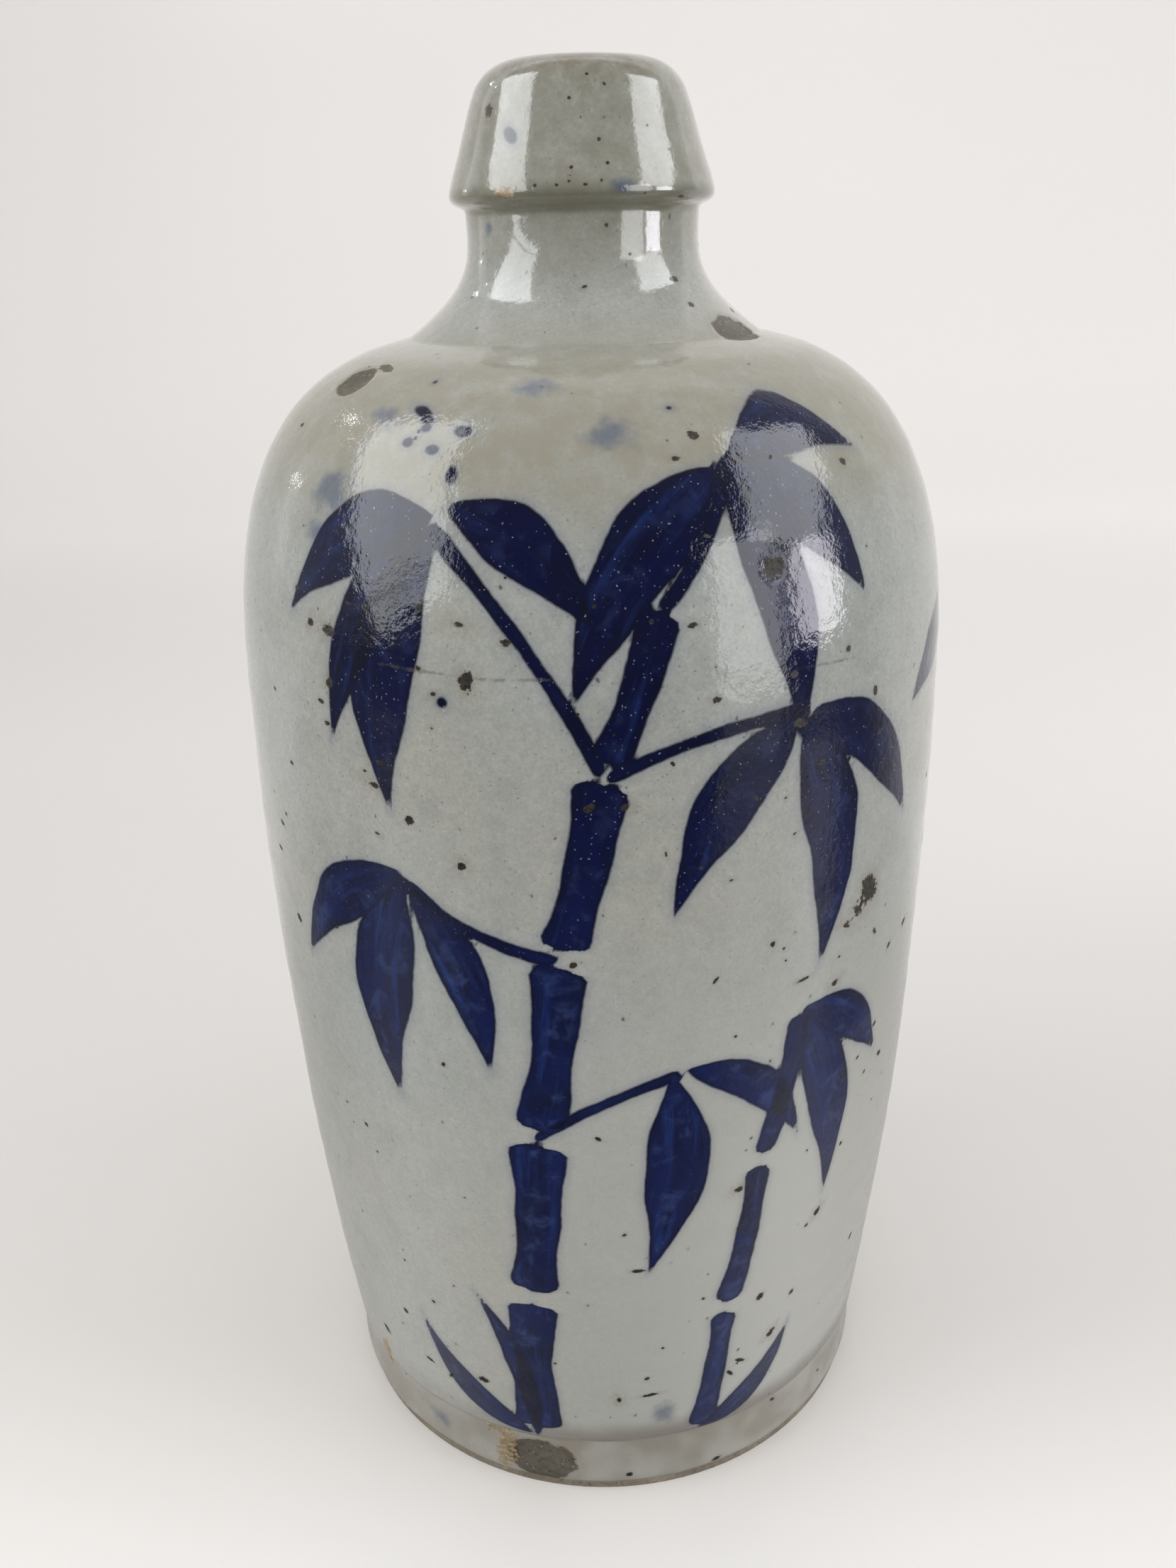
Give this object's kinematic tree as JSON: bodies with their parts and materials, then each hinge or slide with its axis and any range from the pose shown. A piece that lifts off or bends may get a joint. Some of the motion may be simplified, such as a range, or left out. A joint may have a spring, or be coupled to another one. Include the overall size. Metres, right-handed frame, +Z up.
{
  "type": "sake bottle",
  "caption": "Glazed stoneware sake bottle with a tapered body, round shoulder, short neck and flared mouth collar; sections luted together under one glaze coat.",
  "frame": {"origin": "centre of the foot ring on the table, at the bottom of the bottle", "axes": "+Z up along the bottle's axis, from the foot to the mouth; -Y faces the front, +X to its right"},
  "size_m": [0.1316, 0.1316, 0.2622],
  "materials": {
    "glaze": "gloss",
    "stoneware": "matte"
  },
  "bodies": {
    "root": {"lower_body": "stoneware", "upper_body": "stoneware", "neck": "stoneware", "mouth_collar": "stoneware", "glaze_coat": "glaze"}
  },
  "joints": []
}
